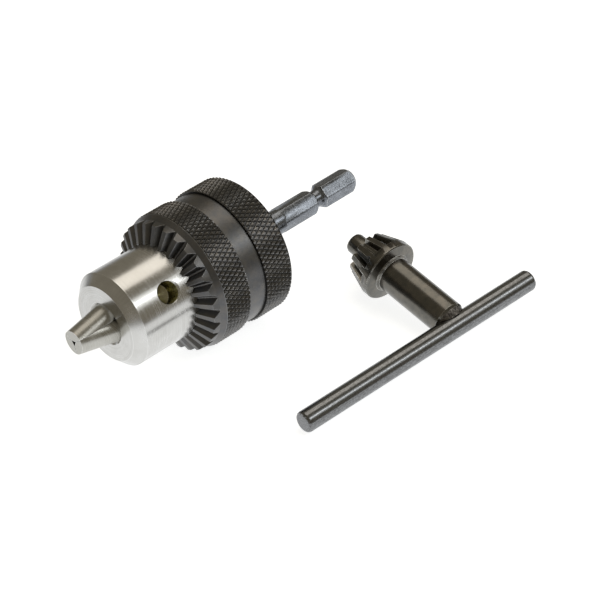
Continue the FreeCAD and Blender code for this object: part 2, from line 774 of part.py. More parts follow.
def key_frame():
    """Row placement of the key's frame: Z along its shank, Y along its cross bar.

    The key rests on three points: the rear edge of its rim, the edge of its shank's end and
    the long end of its bar. The first two tilt the shank, and the third rolls the key.
    """
    rim_edge = size.flange_start.number + size.flange_dish.number + size.rim_edge.number
    shank_edge = size.shank_start.number + size.shank_edge.number
    rim = size.rim_radius.number
    shank = size.shank_radius.number
    tilt = math.atan2(rim - shank, rim_edge - shank_edge)
    height = shank * math.cos(tilt) - shank_edge * math.sin(tilt)
    bar_contact = size.bar_long.number - size.bar_edge.number
    roll = math.asin((height - size.bar_radius.number) / bar_contact / math.cos(tilt))
    turn = math.radians(size.key_turn.number)

    away = Vector(math.sin(turn), math.cos(turn), 0)
    level = Vector(-math.cos(turn), math.sin(turn), 0)
    upwards = Vector(0, 0, 1)
    along_shank = level * math.cos(tilt) + upwards * math.sin(tilt)
    raised = away.cross(along_shank)
    along_bar = away * math.cos(roll) + raised * math.sin(roll)
    across = along_bar.cross(along_shank)
    foot = Vector(size.key_x.number, size.key_y.number, height - size.sleeve_radius.number)
    return Placement(foot, Rotation(across, along_bar, along_shank, "ZXY"))


def pinion_section(root, tip, scale):
    """A tooth gap of the pinion, seen along the shank."""
    widening = (size.pinion_gap_mouth - size.pinion_gap_floor) / (tip - root) * CUT_MARGIN
    floor_half = size.pinion_gap_floor / 2 * scale
    mouth_half = (size.pinion_gap_mouth + widening) / 2 * scale
    return [
        (root, -floor_half),
        (tip + CUT_MARGIN, -mouth_half),
        (tip + CUT_MARGIN, mouth_half),
        (root, floor_half),
    ]


def make_key_shank():
    """Pilot pin, bevel pinion, flange and shank of the key, turned from one bar."""
    rim_rear = size.flange_start + size.flange_dish
    pin_step = size.pin_round * 0.3
    body = revolve_body("key_shank", [
        (ZERO, size.shank_start),
        (size.shank_radius - size.shank_edge, size.shank_start),
        (size.shank_radius, size.shank_start + size.shank_edge),
        (size.shank_radius, size.flange_start - size.foot_rise),
        (size.flange_foot, size.flange_start),
        (size.flange_foot + size.foot_rise / 2, size.flange_start + size.foot_rise),
        (size.rim_radius - size.rim_edge, rim_rear),
        (size.rim_radius, rim_rear + size.rim_edge),
        (size.rim_radius, size.pinion_heel),
        (size.pinion_toe_radius, size.pinion_toe),
        (size.pin_radius, size.pinion_toe),
        (size.pin_radius, size.pin_end - size.pin_round),
        (size.pin_radius - pin_step, size.pin_end - pin_step),
        (size.pin_radius - size.pin_round, size.pin_end),
        (ZERO, size.pin_end),
    ])
    heel = size.pinion_heel + size.heel_web
    toe = size.pinion_toe + CUT_MARGIN
    toe_scale = size.pinion_toe_radius / size.rim_radius
    gap = cut_tapered_gap(body, "pinion_gap", "XY_Plane", [
        (heel, pinion_section(size.pinion_heel_root, size.rim_radius, as_size(1))),
        (toe, pinion_section(size.pinion_toe_root, size.pinion_toe_radius, toe_scale)),
    ])
    repeat_round(body, "pinion_gaps", gap, size.pinion_teeth)
    phase = Rotation(Vector(0, 0, 1), size.pinion_phase.number)
    along_bar = Rotation(Vector(1, 0, 0), -90)
    reach = size.shank_radius * 2
    start = Vector(0, -reach.number / 2, 0)
    saddle = Placement(phase.inverted().multVec(start), phase.inverted().multiply(along_bar))
    cut_cylinder(body, "bar_saddle", size.bar_radius + size.saddle_play, reach, saddle)
    body.Placement = key_frame().multiply(Placement(Vector(), phase))
    return body


def make_key_bar():
    """Round cross bar with chamfered ends, off centre in the shank."""
    body = document.addObject("PartDesign::Body", "key_bar")
    body.Label = "key_bar"
    sketch = body.newObject("Sketcher::SketchObject", "bar_outline")
    sketch.AttachmentSupport = (origin_plane(body, "XY_Plane"), [""])
    sketch.MapMode = "FlatFace"
    sketch.addGeometry(Part.Circle(Vector(), Vector(0, 0, 1), size.bar_radius.number), False)
    sketch.addConstraint(Sketcher.Constraint("Coincident", 0, 3, -1, 1))
    radius = sketch.addConstraint(Sketcher.Constraint("Radius", 0, size.bar_radius.number))
    sketch.setExpression(f"Constraints[{radius}]", size.bar_radius.text)
    bar = body.newObject("PartDesign::Pad", "bar_length")
    bar.Profile = sketch
    bind(bar, Length=size.bar_short + size.bar_long)
    document.recompute()
    rims = []
    for index, edge in enumerate(bar.Shape.Edges, start=1):
        if isinstance(edge.Curve, Part.Circle):
            rims.append(f"Edge{index}")
    ends = body.newObject("PartDesign::Chamfer", "bar_ends")
    ends.Base = (bar, rims)
    bind(ends, Size=size.bar_edge)
    document.recompute()
    along_bar = Rotation(Vector(1, 0, 0), -90)
    start = Placement(Vector(0, -size.bar_long.number, 0), along_bar)
    body.Placement = key_frame().multiply(start)
    return body


def make_key_weld():
    """Weld beads that join the bar to the end of the shank, one on each side of the bar."""
    cone = document.addObject("Part::Cone", "weld_cone")
    bind(cone, Radius1=size.weld_top_radius, Radius2=size.weld_radius,
         Height=size.shank_start - size.weld_top - size.saddle_play)
    cone.Placement = Placement(Vector(0, 0, size.weld_top.number), Rotation())
    bar = document.addObject("Part::Cylinder", "weld_bar_hollow")
    reach = size.shank_radius * 2
    bind(bar, Radius=size.bar_radius + size.saddle_play, Height=reach)
    bar.Placement = Placement(Vector(0, -reach.number / 2, 0), Rotation(Vector(1, 0, 0), -90))
    weld = document.addObject("Part::Cut", "key_weld")
    weld.Label = "key_weld"
    weld.Base = cone
    weld.Tool = bar
    weld.Placement = key_frame()
    document.recompute()
    return weld


# ---------------------------------------------------------------- assembly

def make_all():
    thread = make_nut_thread()
    sub_parts = [
        make_chuck_body(),
        make_sleeve(),
        make_nut_half("nut_half_upper", thread, 0.0),
        make_nut_half("nut_half_lower", thread, 180.0),
        make_shank_adapter(),
        make_locking_screw(),
        make_key_shank(),
        make_key_bar(),
        make_key_weld(),
    ]
    for index in range(3):
        sub_parts.append(make_jaw(f"jaw_{index + 1}", jaw_angle(index)))
    return sub_parts


def check_and_export(sub_parts):
    """Refuse any failed object or bad shape, then write one STEP file per sub-part."""
    document.recompute()
    for item in document.Objects:
        if "Invalid" in item.State or "Error" in item.State:
            raise RuntimeError(f"{item.Name} failed: {item.State}")
    os.makedirs(PARTS_FOLDER, exist_ok=True)
    for item in sub_parts:
        shape = item.Shape
        if shape.isNull() or not shape.isValid() or not shape.Solids:
            raise RuntimeError(f"{item.Label} has no valid solid")
        box = shape.optimalBoundingBox()
        print(f"{item.Label:20s} solids {len(shape.Solids)} volume {shape.Volume:9.1f} "
              f"x {box.XMin:.2f}..{box.XMax:.2f} y {box.YMin:.2f}..{box.YMax:.2f} "
              f"z {box.ZMin:.2f}..{box.ZMax:.2f}")
        shape.exportStep(os.path.join(PARTS_FOLDER, f"{item.Label}.step"))


check_and_export(make_all())
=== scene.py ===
# Looks of a keyed drill chuck and its key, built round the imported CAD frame.
#
# Metres, in the row frame: the chuck's axis is Y, its nose points along -Y, and +Z is up. Turned
# pieces are drawn in a frame of their own whose local Z is the turning axis, so that one set of
# materials serves them all. For the chuck, local Z is the distance from the hex shank's free end.

import math

import bmesh
import bpy
from mathutils import Matrix, Vector


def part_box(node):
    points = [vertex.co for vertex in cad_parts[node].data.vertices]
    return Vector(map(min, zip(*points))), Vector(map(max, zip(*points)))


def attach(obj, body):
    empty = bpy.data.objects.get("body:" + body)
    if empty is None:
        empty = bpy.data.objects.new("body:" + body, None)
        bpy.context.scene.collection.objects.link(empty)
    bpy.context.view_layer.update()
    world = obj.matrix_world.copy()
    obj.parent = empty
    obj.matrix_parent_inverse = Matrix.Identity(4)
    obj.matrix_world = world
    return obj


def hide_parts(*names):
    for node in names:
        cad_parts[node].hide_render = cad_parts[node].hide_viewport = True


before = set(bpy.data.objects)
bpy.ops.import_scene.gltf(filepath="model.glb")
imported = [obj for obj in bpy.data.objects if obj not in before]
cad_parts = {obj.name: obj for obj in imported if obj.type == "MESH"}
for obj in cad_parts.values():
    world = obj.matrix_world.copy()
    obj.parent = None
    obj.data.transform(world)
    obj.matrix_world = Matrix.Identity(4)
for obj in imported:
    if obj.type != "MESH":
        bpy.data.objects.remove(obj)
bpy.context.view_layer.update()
MM = 0.001

# ---------------------------------------------------------------- sizes

SLEEVE_LOW, SLEEVE_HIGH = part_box("sleeve")
FLOOR_LEVEL = SLEEVE_LOW.z

# The sleeve, from rear to front. It stays a hair inside the CAD sleeve's box.
SLEEVE_RADIUS = SLEEVE_HIGH.x - 0.005 * MM
SLEEVE_REAR = -SLEEVE_HIGH.y
SLEEVE_REAR_BORE = 17.25 * MM
SLEEVE_EDGE = 0.6 * MM
REAR_RIM_RADIUS = SLEEVE_RADIUS - SLEEVE_EDGE - 0.1 * MM
REAR_LIP_RADIUS = SLEEVE_RADIUS - 0.55 * MM
REAR_LIP = 0.22 * MM
REAR_BAND_SETBACK = 0.12 * MM
REAR_BAND_END = 49.16 * MM
FRONT_BAND_START = 55.17 * MM
FRONT_BAND_END = 63.24 * MM
FRONT_LIP_RADIUS = SLEEVE_RADIUS - 0.12 * MM
FRONT_LIP = 0.06 * MM
BAND_LIP = 0.22 * MM
BAND_GROOVE_RADIUS = 18.55 * MM
WALL_UNDER_BAND = 0.35 * MM
WALL_CLEARANCE = 0.1 * MM
NUT_SEAT_RADIUS = 16.2 * MM
NUT_SEAT_REAR = 57.0 * MM
NUT_SEAT_FRONT = 64.22 * MM

# The bevel ring on the sleeve's front. Its tip and root cones share an apex on the axis, and their
# slopes are the fall along the axis for each unit of radius. Half widths of a gap are angles.
GEAR_TEETH = 28
GEAR_RADIUS = 18.42 * MM
GEAR_BORE = 13.42 * MM
GEAR_APEX = 74.9 * MM
GEAR_TIP_SLOPE = 0.421
GEAR_ROOT_SLOPE = 0.537
GEAR_FLOOR_HALF = 0.25 * MM / GEAR_RADIUS
GEAR_MOUTH_HALF = 1.36 * MM / GEAR_RADIUS
GEAR_PHASE = math.radians(29.0)
GEAR_LAND_STEPS = 5

# Diamond knurl: grooves in both directions, their number round the sleeve and their axial pitch.
# A diamond's shoulder and crown stand in from its grooves by shares of its own side.
KNURL_GROOVES = 86
KNURL_AXIAL_PITCH = 2.564 * MM
KNURL_DEPTH = 0.38 * MM
KNURL_SHOULDER = 0.36
KNURL_TOP = 0.44
KNURL_SHOULDER_DROP = 0.05 * MM
KNURL_ROOT_RADIUS = 18.3 * MM

# The key, placed by its own three points of rest.
KEY_FOOT = Vector((52.8, -13.65, -14.904)) * MM
KEY_SHANK_DIRECTION = Vector((-0.985761, 0.043556, 0.162416))
KEY_BAR_DIRECTION = Vector((0.048580, 0.998452, 0.027085))

# How far each piece's edges are rounded.
SLEEVE_ROUND = 0.1 * MM
BODY_ROUND = 0.08 * MM
HEX_ROUND = 0.12 * MM
SCREW_ROUND = 0.08 * MM
JAW_ROUND = 0.06 * MM
KEY_SHANK_ROUND = 0.1 * MM
BAR_ROUND = 0.45 * MM
WELD_ROUND = 0.1 * MM


def key_frame():
    across = KEY_BAR_DIRECTION.cross(KEY_SHANK_DIRECTION)
    axes = Matrix((across, KEY_BAR_DIRECTION, KEY_SHANK_DIRECTION)).transposed()
    return Matrix.Translation(KEY_FOOT) @ axes.to_4x4()


CHUCK_FRAME = Matrix.Rotation(math.radians(90), 4, "X")
KEY_FRAME = key_frame()
BAR_FRAME = KEY_FRAME @ Matrix.Rotation(math.radians(-90), 4, "X")


# ---------------------------------------------------------------- mesh helpers

def add_piece(name, mesh, material, body, *nodes, slot=None):
    """Links a piece that rides on a body and stands for CAD nodes."""
    mesh.materials.append(material)
    piece = bpy.data.objects.new(name, mesh)
    bpy.context.scene.collection.objects.link(piece)
    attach(piece, body)
    if nodes:
        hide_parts(*nodes)
    return piece


def smooth_with_edges(mesh, degrees=30):
    mesh.shade_smooth()
    mesh.set_sharp_from_angle(angle=math.radians(degrees))


def bevel_edges(piece, width, segments=2, degrees=30):
    modifier = piece.modifiers.new("edge_round", "BEVEL")
    modifier.width = width
    modifier.segments = segments
    modifier.limit_method = "ANGLE"
    modifier.angle_limit = math.radians(degrees)
    modifier.harden_normals = True
    modifier.use_clamp_overlap = True


def copy_of_node(node):
    """A mesh with a CAD node's shape, its nearly coplanar triangles joined."""
    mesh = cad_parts[node].data.copy()
    normals = mesh.attributes.get("custom_normal")
    if normals:
        mesh.attributes.remove(normals)
    shape = bmesh.new()
    shape.from_mesh(mesh)
    bmesh.ops.remove_doubles(shape, verts=shape.verts, dist=1e-6)
    bmesh.ops.dissolve_limit(shape, angle_limit=math.radians(0.4), verts=shape.verts,
                             edges=shape.edges)
    shape.to_mesh(mesh)
    shape.free()
    mesh.materials.clear()
    smooth_with_edges(mesh)
    return mesh


def ring_point(radius, angle, station):
    return Vector((radius * math.cos(angle), radius * math.sin(angle), station))


# ---------------------------------------------------------------- sleeve

def tooth_columns():
    """Angles round the ring: for each gap its two floor edges, then the next tooth's body."""
    pitch = 2 * math.pi / GEAR_TEETH
    base, top = [], []
    for tooth in range(GEAR_TEETH):
        centre = GEAR_PHASE + tooth * pitch
        base.append(centre - GEAR_FLOOR_HALF)
        top.append(centre - GEAR_MOUTH_HALF)
        for step in range(GEAR_LAND_STEPS):
            share = step / GEAR_LAND_STEPS
            base.append(centre + GEAR_FLOOR_HALF + share * (pitch - 2 * GEAR_FLOOR_HALF))
            top.append(centre + GEAR_MOUTH_HALF + share * (pitch - 2 * GEAR_MOUTH_HALF))
    return base, top


def make_sleeve():
    """Turned sleeve and bevel ring in one closed mesh. The knurled bands are their own rings."""
    base, top = tooth_columns()
    count = len(base)
    shape = bmesh.new()
    shoulder = GEAR_APEX - GEAR_ROOT_SLOPE * GEAR_RADIUS
    inner_root = GEAR_APEX - GEAR_ROOT_SLOPE * GEAR_BORE
    outline = [
        (GEAR_BORE, inner_root),
        (GEAR_BORE, NUT_SEAT_FRONT),
        (NUT_SEAT_RADIUS, NUT_SEAT_FRONT),
        (NUT_SEAT_RADIUS, NUT_SEAT_REAR),
        (SLEEVE_REAR_BORE, NUT_SEAT_REAR),
        (SLEEVE_REAR_BORE, SLEEVE_REAR),
        (REAR_RIM_RADIUS, SLEEVE_REAR),
        (REAR_LIP_RADIUS, SLEEVE_REAR + REAR_LIP),
        (BAND_GROOVE_RADIUS, SLEEVE_REAR + WALL_UNDER_BAND),
        (BAND_GROOVE_RADIUS, FRONT_BAND_END - WALL_UNDER_BAND),
        (SLEEVE_RADIUS - KNURL_DEPTH - WALL_CLEARANCE, FRONT_BAND_END - WALL_CLEARANCE),
        (FRONT_LIP_RADIUS, FRONT_BAND_END + FRONT_LIP),
        (GEAR_RADIUS, shoulder),
    ]
    loops = [[shape.verts.new(ring_point(radius, angle, station)) for angle in base]
             for radius, station in outline]
    for rear, front in zip(loops, loops[1:]):
        for index in range(count):
            after = (index + 1) % count
            shape.faces.new((rear[index], rear[after], front[after], front[index]))

    outer_tip = [shape.verts.new(ring_point(GEAR_RADIUS, angle,
                                            GEAR_APEX - GEAR_TIP_SLOPE * GEAR_RADIUS))
                 for angle in top]
    inner_tip = [shape.verts.new(ring_point(GEAR_BORE, angle,
                                            GEAR_APEX - GEAR_TIP_SLOPE * GEAR_BORE))
                 for angle in top]
    outer, inner = loops[-1], loops[0]
    per_tooth = GEAR_LAND_STEPS + 1
    for tooth in range(GEAR_TEETH):
        left = tooth * per_tooth
        right = left + 1
        shape.faces.new((outer[left], outer[right], inner[right], inner[left]))
        shape.faces.new((outer_tip[right], inner_tip[right], inner[right], outer[right]))
        shape.faces.new((inner_tip[left], outer_tip[left], outer[left], inner[left]))
        for step in range(GEAR_LAND_STEPS):
            a = right + step
            b = (a + 1) % count
            shape.faces.new((outer[a], outer[b], outer_tip[b], outer_tip[a]))
            shape.faces.new((outer_tip[a], outer_tip[b], inner_tip[b], inner_tip[a]))
            shape.faces.new((inner_tip[a], inner_tip[b], inner[b], inner[a]))
    bmesh.ops.recalc_face_normals(shape, faces=shape.faces)
    mesh = bpy.data.meshes.new("sleeve_turned")
    shape.to_mesh(mesh)
    shape.free()
    mesh.transform(CHUCK_FRAME)
    smooth_with_edges(mesh, 25)
    return mesh


def make_knurl_band(name, start, end, start_chamfer, end_chamfer):
    """A closed ring with a diamond knurl, cut in the flat and then wrapped round the sleeve."""
    around = 2 * math.pi * SLEEVE_RADIUS
    per_u = KNURL_GROOVES / around
    per_v = 1 / KNURL_AXIAL_PITCH
    shape = bmesh.new()
    corners = {}

    def corner(a, b):
        """The meeting of groove a of one direction and groove b of the other."""
        if (a, b) not in corners:
            u, v = (a + b) / (2 * per_u), (a - b) / (2 * per_v)
            corners[a, b] = shape.verts.new((u, v, -KNURL_DEPTH))
        return corners[a, b]

    def inset(a, b, share, height):
        square = []
        for da, db in ((share, share), (1 - share, share), (1 - share, 1 - share),
                       (share, 1 - share)):
            u, v = (a + da + b + db) / (2 * per_u), (a + da - b - db) / (2 * per_v)
            square.append(shape.verts.new((u, v, height)))
        return square

    first = math.floor((start - KNURL_AXIAL_PITCH) * 2 * per_v)
    last = math.ceil((end + KNURL_AXIAL_PITCH) * 2 * per_v)
    for difference in range(first, last + 1):
        for total in range(0, 2 * KNURL_GROOVES):
            if (total + difference) % 2:
                continue
            a, b = (total + difference) // 2, (total - difference) // 2
            foot = [corner(a, b), corner(a + 1, b), corner(a + 1, b + 1), corner(a, b + 1)]
            shoulder = inset(a, b, KNURL_SHOULDER, -KNURL_SHOULDER_DROP)
            crown = inset(a, b, KNURL_TOP, 0.0)
            for index in range(4):
                after = (index + 1) % 4
                shape.faces.new((foot[index], foot[after], shoulder[after], shoulder[index]))
                shape.faces.new((shoulder[index], shoulder[after], crown[after], crown[index]))
            shape.faces.new(crown)

    for station in (start + start_chamfer, end - end_chamfer):
        bmesh.ops.bisect_plane(shape, geom=shape.verts[:] + shape.edges[:] + shape.faces[:],
                               plane_co=(0, station, 0), plane_no=(0, 1, 0))
    for station, outwards in ((start, -1), (end, 1)):
        bmesh.ops.bisect_plane(shape, geom=shape.verts[:] + shape.edges[:] + shape.faces[:],
                               plane_co=(0, station, 0), plane_no=(0, outwards, 0),
                               clear_outer=True)

    for vertex in shape.verts:
        u, v, height = vertex.co
        fall = max(0.0, (start + start_chamfer - v), (v - end + end_chamfer))
        radius = SLEEVE_RADIUS + min(height, -fall)
        vertex.co = ring_point(radius, u / SLEEVE_RADIUS, v)
    bmesh.ops.remove_doubles(shape, verts=shape.verts, dist=2e-6)

    rims = [edge for edge in shape.edges if edge.is_boundary]
    walls = bmesh.ops.extrude_edge_only(shape, edges=rims)["geom"]
    for item in walls:
        if isinstance(item, bmesh.types.BMVert):
            flat = Vector((item.co.x, item.co.y, 0)).normalized() * KNURL_ROOT_RADIUS
            item.co = Vector((flat.x, flat.y, item.co.z))
    open_edges = [edge for edge in shape.edges if edge.is_boundary]
    bmesh.ops.bridge_loops(shape, edges=open_edges)
    bmesh.ops.recalc_face_normals(shape, faces=shape.faces)
    mesh = bpy.data.meshes.new(name)
    shape.to_mesh(mesh)
    shape.free()
    mesh.transform(CHUCK_FRAME)
    smooth_with_edges(mesh, 20)
    return mesh


# ---------------------------------------------------------------- materials

class Tree:
    """A metal's node tree, with short calls for the few nodes that every metal here uses."""

    def __init__(self, name, axes):
        self.axes = axes
        self.material = bpy.data.materials.new(name)
        self.material.use_nodes = True
        self.nodes = self.material.node_tree.nodes
        self.links = self.material.node_tree.links
        self.shader = self.nodes["Principled BSDF"]
        self.shader.inputs["Metallic"].default_value = 1.0

    def node(self, kind, values=(), **settings):
        """A node with its settings and the inputs that values names, each a number or a socket."""
        node = self.nodes.new(kind)
        for name, value in settings.items():
            setattr(node, name, value)
        for name, value in dict(values).items():
            self.put(node.inputs[name], value)
        return node

    def put(self, socket, value):
        if isinstance(value, bpy.types.NodeSocket):
            self.links.new(value, socket)
        else:
            socket.default_value = value

    def math(self, operation, first, second=0.0):
        node = self.node("ShaderNodeMath", {0: first, 1: second}, operation=operation)
        return node.outputs[0]

    def ramp(self, factor, low, high, out_low=0.0, out_high=1.0):
        node = self.node("ShaderNodeMapRange", {
            "Value": factor, "From Min": low, "From Max": high,
            "To Min": out_low, "To Max": out_high})
        return node.outputs["Result"]

    def mix(self, factor, first, second):
        node = self.node("ShaderNodeMix", data_type="RGBA")
        self.put(node.inputs[0], factor)
        self.put(node.inputs[6], first)
        self.put(node.inputs[7], second)
        return node.outputs[2]

    def noise(self, vector, scale, detail=3.0, roughness=0.55):
        node = self.node("ShaderNodeTexNoise", {
            "Vector": vector, "Scale": scale, "Detail": detail, "Roughness": roughness})
        return node.outputs["Fac"]

    def place(self):
        """Position in the part's own frame, whose Z is its axis."""
        inward = self.axes.inverted()
        here = self.node("ShaderNodeTexCoord").outputs["Object"]
        node = self.node("ShaderNodeMapping", {
            "Vector": here, "Location": inward.to_translation(), "Rotation": inward.to_euler()})
        return node.outputs[0]

    def split(self):
        return self.node("ShaderNodeSeparateXYZ", {0: self.place()}).outputs

    def radius(self):
        """Distance from local Z."""
        x, y, z = self.split()
        return self.math("POWER", self.math("ADD", self.math("MULTIPLY", x, x),
                                            self.math("MULTIPLY", y, y)), 0.5)

    def turned(self, along, across):
        """Coordinates round local Z that are stretched along the turning marks."""
        x, y, z = self.split()
        joined = self.node("ShaderNodeCombineXYZ", {
            0: self.math("MULTIPLY", self.math("ADD", self.radius(), z), across),
            1: self.math("MULTIPLY", x, along),
            2: self.math("MULTIPLY", y, along)})
        return joined.outputs[0]

    def drawn(self, along, across):
        """Coordinates stretched along local Z."""
        node = self.node("ShaderNodeMapping", {"Vector": self.place(),
                                               "Scale": (across, across, along)})
        return node.outputs[0]

    def edges(self, radius, low=0.008, high=0.12):
        """1 on edges, 0 on open faces: the mask for worn edges and for painted highlights along
        edges.
        """
        rounded = self.node("ShaderNodeBevel", {"Radius": radius}, samples=6).outputs[0]
        flat = self.node("ShaderNodeNewGeometry").outputs["Normal"]
        alike = self.node("ShaderNodeVectorMath", {0: rounded, 1: flat},
                          operation="DOT_PRODUCT").outputs["Value"]
        return self.ramp(self.math("SUBTRACT", 1.0, alike), low, high)

    def finish(self, colour, roughness, height, distance):
        """The material, with height as a bump that stands up to distance from the surface."""
        self.put(self.shader.inputs["Base Color"], colour)
        self.put(self.shader.inputs["Roughness"], roughness)
        bump = self.node("ShaderNodeBump", {"Height": height, "Distance": distance,
                                            "Strength": 1.0})
        self.put(self.shader.inputs["Normal"], bump.outputs[0])
        return self.material


def rgb(red, green, blue):
    return (red, green, blue, 1.0)


def ground_steel(name, axes, light, dark, roughness, bore=None):
    """Bright steel, turned or ground round its axis, with faint stains and painted highlights on
    its edges.

    bore gives where the drilled holes' walls get a painted shade with a dim olive painted
    reflection: the radius they lie within, and the middle and half length of their place along the
    axis.
    """
    tree = Tree(name, axes)
    lines = tree.noise(tree.turned(along=60.0, across=9000.0), scale=1.0, detail=2.0)
    stains = tree.noise(tree.place(), scale=260.0, detail=4.0)
    shade = tree.math("ADD", tree.math("MULTIPLY", lines, 0.6), tree.math("MULTIPLY", stains, 0.4))
    colour = tree.mix(tree.ramp(shade, 0.35, 0.65), dark, light)
    if bore:
        depth, station, reach = bore
        inside = tree.ramp(tree.radius(), depth, depth - 0.3 * MM)
        away = tree.math("ABSOLUTE", tree.math("SUBTRACT", tree.split()[2], station))
        beside = tree.ramp(away, reach, reach - 0.3 * MM)
        # Painted shade and reflection: a dim olive colour inside the pilot holes.
        hole_shade_and_reflection = tree.mix(tree.ramp(stains, 0.35, 0.65), rgb(0.36, 0.33, 0.2), rgb(0.52, 0.5, 0.36))
        colour = tree.mix(tree.math("MULTIPLY", inside, beside), colour, hole_shade_and_reflection)
    # Painted highlight: the edges are lightened towards near white.
    colour = tree.mix(tree.math("MULTIPLY", tree.edges(0.25 * MM), 0.8), colour,
                      rgb(0.93, 0.93, 0.92))
    rough = tree.math("ADD", tree.ramp(lines, 0.3, 0.7, roughness * 0.75, roughness * 1.25),
                      tree.ramp(stains, 0.4, 0.7, 0.0, roughness * 0.3))
    return tree.finish(colour, rough, lines, distance=0.006 * MM)


def black_oxide(name, axes, film, warm, edge_wear_and_highlight_colour, roughness, edge_wear_and_highlight_radius=0.22 * MM, edge_wear_and_highlight_amount=0.75,
                groove_shade_radii=None):
    """Oxide film with a fine mottle; its edges are worn through to brighter steel, which is also a
    painted highlight along them.

    grooves is the pair of radii between which painted shade on a cut's floor fades out.
    """
    tree = Tree(name, axes)
    lines = tree.noise(tree.turned(along=40.0, across=5000.0), scale=1.0, detail=2.0)
    mottle = tree.noise(tree.place(), scale=420.0, detail=5.0, roughness=0.6)
    grain = tree.noise(tree.place(), scale=5200.0, detail=2.0)
    film_colour = tree.mix(tree.ramp(mottle, 0.35, 0.68), film, warm)
    # Edges worn through the oxide and lightened past plain steel: partly real wear, partly painted
    # highlight.
    edge_wear_and_highlight_mask = tree.math("MULTIPLY", tree.edges(edge_wear_and_highlight_radius), tree.ramp(mottle, 0.3, 0.6, 0.5, 1.0))
    if groove_shade_radii:
        # Painted shade: the knurl's groove floors are darkened to near black.
        height = tree.ramp(tree.radius(), *groove_shade_radii)
        film_colour = tree.mix(height, rgb(0.035, 0.034, 0.032), film_colour)
        edge_wear_and_highlight_mask = tree.math("MULTIPLY", edge_wear_and_highlight_mask, height)
    colour = tree.mix(tree.math("MULTIPLY", edge_wear_and_highlight_mask, edge_wear_and_highlight_amount), film_colour, edge_wear_and_highlight_colour)
    rough = tree.math("ADD", tree.ramp(grain, 0.3, 0.7, roughness * 0.88, roughness * 1.12),
                      tree.math("MULTIPLY", edge_wear_and_highlight_mask, -0.35 * roughness))
    height = tree.math("ADD", tree.math("MULTIPLY", lines, 0.5), grain)
    return tree.finish(colour, rough, height, distance=0.006 * MM)


def blasted_steel(name, axes, light, dark, roughness):
    """Satin steel with a fine speckle of pits and painted highlights on its edges."""
    tree = Tree(name, axes)
    speckle = tree.noise(tree.place(), scale=2600.0, detail=2.0, roughness=0.5)
    cloud = tree.noise(tree.place(), scale=350.0)
    blend = tree.math("ADD", tree.math("MULTIPLY", speckle, 0.7), tree.math("MULTIPLY", cloud, 0.3))
    # Painted highlight: the edges are lightened towards near white.
    bright = tree.edges(0.3 * MM)
    colour = tree.mix(tree.ramp(blend, 0.36, 0.62), dark, light)
    colour = tree.mix(tree.math("MULTIPLY", bright, 0.85), colour, rgb(0.93, 0.94, 0.95))
    rough = tree.ramp(speckle, 0.3, 0.7, roughness * 0.85, roughness * 1.2)
    return tree.finish(colour, rough, speckle, distance=0.02 * MM)


def drawn_bar(name, axes, light, dark, roughness):
    """Drawn bar: long faint die lines, a few flecks, a satin sheen and painted highlights on its
    edges.
    """
    tree = Tree(name, axes)
    lines = tree.noise(tree.drawn(along=35.0, across=4200.0), scale=1.0)
    fleck = tree.noise(tree.drawn(along=1500.0, across=2900.0), scale=1.0)
    # Painted highlight: the edges are lightened towards pale grey.
    bright = tree.edges(0.2 * MM)
    blend = tree.math("ADD", tree.math("MULTIPLY", lines, 0.3), tree.math("MULTIPLY", fleck, 0.7))
    colour = tree.mix(tree.ramp(blend, 0.38, 0.62), dark, light)
    colour = tree.mix(tree.math("MULTIPLY", bright, 0.5), colour, rgb(0.55, 0.55, 0.56))
    rough = tree.ramp(blend, 0.35, 0.65, roughness * 1.2, roughness * 0.85)
    return tree.finish(colour, rough, blend, distance=0.012 * MM)


def weld_metal(name, axes):
    tree = Tree(name, axes)
    lumps = tree.noise(tree.place(), scale=1500.0, detail=4.0, roughness=0.6)
    colour = tree.mix(tree.ramp(lumps, 0.35, 0.65), rgb(0.05, 0.045, 0.04), rgb(0.22, 0.2, 0.18))
    rough = tree.ramp(lumps, 0.3, 0.7, 0.5, 0.3)
    return tree.finish(colour, rough, lumps, distance=0.25 * MM)


# The key pilot holes' walls, painted with a dim olive shade and reflection: the radius they lie
# within, their middle and half length.
PILOT_HOLE_WALLS = (12.85 * MM, 74.9 * MM, 3.8 * MM)
# Radii between which the painted shade in the knurl's grooves fades out.
KNURL_GROOVE_SHADE_RADII = (SLEEVE_RADIUS - KNURL_DEPTH, SLEEVE_RADIUS - 0.22 * MM)

NOSE_STEEL = ground_steel(
    "nose_steel", CHUCK_FRAME, light=rgb(0.69, 0.685, 0.665), dark=rgb(0.56, 0.55, 0.525),
    roughness=0.2, bore=PILOT_HOLE_WALLS)
JAW_STEEL = ground_steel(
    "jaw_steel", CHUCK_FRAME, light=rgb(0.58, 0.57, 0.53), dark=rgb(0.42, 0.41, 0.37),
    roughness=0.3)
NUT_STEEL = ground_steel(
    "nut_steel", CHUCK_FRAME, light=rgb(0.42, 0.41, 0.39), dark=rgb(0.3, 0.29, 0.28),
    roughness=0.3)
SLEEVE_BLACK = black_oxide(
    "sleeve_black_oxide", CHUCK_FRAME, film=rgb(0.13, 0.132, 0.136), warm=rgb(0.168, 0.16, 0.15),
    edge_wear_and_highlight_colour=rgb(0.6, 0.62, 0.64), roughness=0.37, edge_wear_and_highlight_radius=0.27 * MM, edge_wear_and_highlight_amount=0.85)
KNURL_BLACK = black_oxide(
    "knurl_black_oxide", CHUCK_FRAME, film=rgb(0.13, 0.13, 0.132), warm=rgb(0.168, 0.16, 0.148),
    edge_wear_and_highlight_colour=rgb(0.7, 0.7, 0.7), roughness=0.26, edge_wear_and_highlight_radius=0.1 * MM, edge_wear_and_highlight_amount=0.85,
    groove_shade_radii=KNURL_GROOVE_SHADE_RADII)
